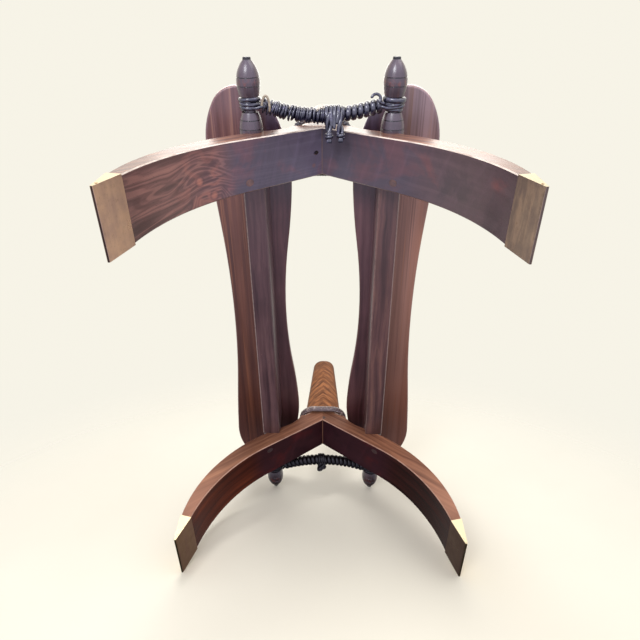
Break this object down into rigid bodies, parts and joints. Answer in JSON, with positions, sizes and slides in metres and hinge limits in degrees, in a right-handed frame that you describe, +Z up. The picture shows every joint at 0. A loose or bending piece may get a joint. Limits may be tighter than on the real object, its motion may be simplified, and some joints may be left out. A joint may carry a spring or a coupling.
{
  "type": "camel saddle stool",
  "caption": "Camel saddle stool frame without its cushion: arched wooden bows with horns and brass shod feet, joined by turned rails and side boards and laced with leather thong.",
  "frame": {"origin": "on the floor, centred under the stool: the bottom centre of its bounding box", "axes": "+Z up, +Y along the rails from the front bow to the rear bow, +X to the stool's right; the front bow is the one whose cord has the long knotted tails"},
  "size_m": [0.3774, 0.68, 0.41],
  "materials": {
    "bow_wood": "oiled and polished",
    "rail_wood": "oiled and polished",
    "board_wood": "oiled and polished",
    "dowel_wood": "oiled and polished",
    "toe_brass": "aged, dull and mottled",
    "pin_brass": "aged",
    "iron": "dull",
    "thong_leather": "glossy black thong",
    "braid_leather": "glossy black braid"
  },
  "bodies": {
    "root": {"front_left_leg": "bow_wood", "front_right_leg": "bow_wood", "rear_left_leg": "bow_wood", "rear_right_leg": "bow_wood", "front_left_toe_cap": "toe_brass", "front_right_toe_cap": "toe_brass", "rear_left_toe_cap": "toe_brass", "rear_right_toe_cap": "toe_brass", "toe_cap_pins": "pin_brass", "front_mitre_dowels": "dowel_wood", "rear_mitre_dowels": "dowel_wood", "front_mitre_nail": "iron", "left_rail": "rail_wood", "right_rail": "rail_wood", "rail_pegs": "dowel_wood", "left_board": "board_wood", "right_board": "board_wood", "board_screws": "iron", "front_cord_core": "thong_leather", "front_cord_wrap": "thong_leather", "front_cord_knot": "thong_leather", "front_left_neck_lashing": "thong_leather", "front_right_neck_lashing": "thong_leather", "front_horn_ring": "braid_leather", "rear_cord_core": "thong_leather", "rear_cord_wrap": "thong_leather", "rear_cord_knot": "thong_leather", "rear_left_neck_lashing": "thong_leather", "rear_right_neck_lashing": "thong_leather", "rear_horn_ring": "braid_leather"}
  },
  "joints": []
}
